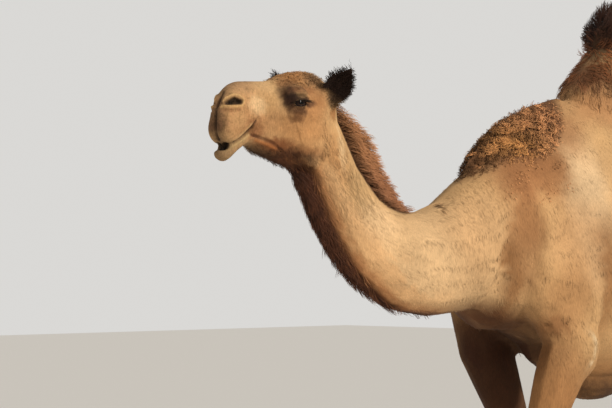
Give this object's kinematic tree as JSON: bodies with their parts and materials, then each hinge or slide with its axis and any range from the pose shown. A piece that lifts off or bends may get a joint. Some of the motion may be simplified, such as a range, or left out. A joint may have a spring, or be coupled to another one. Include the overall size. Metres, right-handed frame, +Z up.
{
  "type": "dromedary camel",
  "caption": "Life-size dromedary camel in mid stride, head raised, with mane, throat hair, woolly withers and a long-haired hump",
  "frame": {"origin": "on the floor under the middle of the bounding box", "axes": "-X towards the nose, +X towards the tail, -Y the animal's left, +Y its right, +Z up"},
  "size_m": [2.9952, 0.6444, 2.358],
  "materials": {
    "head": "short sandy coat",
    "jaw": "short sandy coat",
    "neck_upper": "short sandy coat",
    "neck_lower": "short sandy coat",
    "trunk": "short sandy coat",
    "hump": "short sandy coat",
    "mane": "brown hair",
    "beard": "brown hair",
    "shoulder_wool": "curled wool",
    "hump_hair": "dark brown hair",
    "chest_pad": "callused skin",
    "tail": "short sandy coat",
    "tail_tuft": "dark brown hair",
    "ear_left": "dark brown hair",
    "ear_right": "dark brown hair",
    "eye_left": "wet, dark brown",
    "eye_right": "wet, dark brown",
    "foreleg_left_upper": "short sandy coat",
    "foreleg_left_cannon": "short sandy coat",
    "foreleg_left_foot": "short sandy coat",
    "foreleg_left_nail_inner": "worn horn",
    "foreleg_left_nail_outer": "worn horn",
    "foreleg_right_upper": "short sandy coat",
    "foreleg_right_cannon": "short sandy coat",
    "foreleg_right_foot": "short sandy coat",
    "foreleg_right_nail_inner": "worn horn",
    "foreleg_right_nail_outer": "worn horn",
    "hindleg_left_upper": "short sandy coat",
    "hindleg_left_cannon": "short sandy coat",
    "hindleg_left_foot": "short sandy coat",
    "hindleg_left_nail_inner": "worn horn",
    "hindleg_left_nail_outer": "worn horn",
    "hindleg_right_upper": "short sandy coat",
    "hindleg_right_cannon": "short sandy coat",
    "hindleg_right_foot": "short sandy coat",
    "hindleg_right_nail_inner": "worn horn",
    "hindleg_right_nail_outer": "worn horn"
  },
  "bodies": {
    "root": {"head": "head", "jaw": "jaw", "neck_upper": "neck_upper", "neck_lower": "neck_lower", "trunk": "trunk", "hump": "hump", "mane": "mane", "beard": "beard", "shoulder_wool": "shoulder_wool", "hump_hair": "hump_hair", "chest_pad": "chest_pad", "tail": "tail", "tail_tuft": "tail_tuft", "ear_left": "ear_left", "ear_right": "ear_right", "eye_left": "eye_left", "eye_right": "eye_right", "foreleg_left_upper": "foreleg_left_upper", "foreleg_left_cannon": "foreleg_left_cannon", "foreleg_left_foot": "foreleg_left_foot", "foreleg_left_nail_inner": "foreleg_left_nail_inner", "foreleg_left_nail_outer": "foreleg_left_nail_outer", "foreleg_right_upper": "foreleg_right_upper", "foreleg_right_cannon": "foreleg_right_cannon", "foreleg_right_foot": "foreleg_right_foot", "foreleg_right_nail_inner": "foreleg_right_nail_inner", "foreleg_right_nail_outer": "foreleg_right_nail_outer", "hindleg_left_upper": "hindleg_left_upper", "hindleg_left_cannon": "hindleg_left_cannon", "hindleg_left_foot": "hindleg_left_foot", "hindleg_left_nail_inner": "hindleg_left_nail_inner", "hindleg_left_nail_outer": "hindleg_left_nail_outer", "hindleg_right_upper": "hindleg_right_upper", "hindleg_right_cannon": "hindleg_right_cannon", "hindleg_right_foot": "hindleg_right_foot", "hindleg_right_nail_inner": "hindleg_right_nail_inner", "hindleg_right_nail_outer": "hindleg_right_nail_outer"}
  },
  "joints": []
}
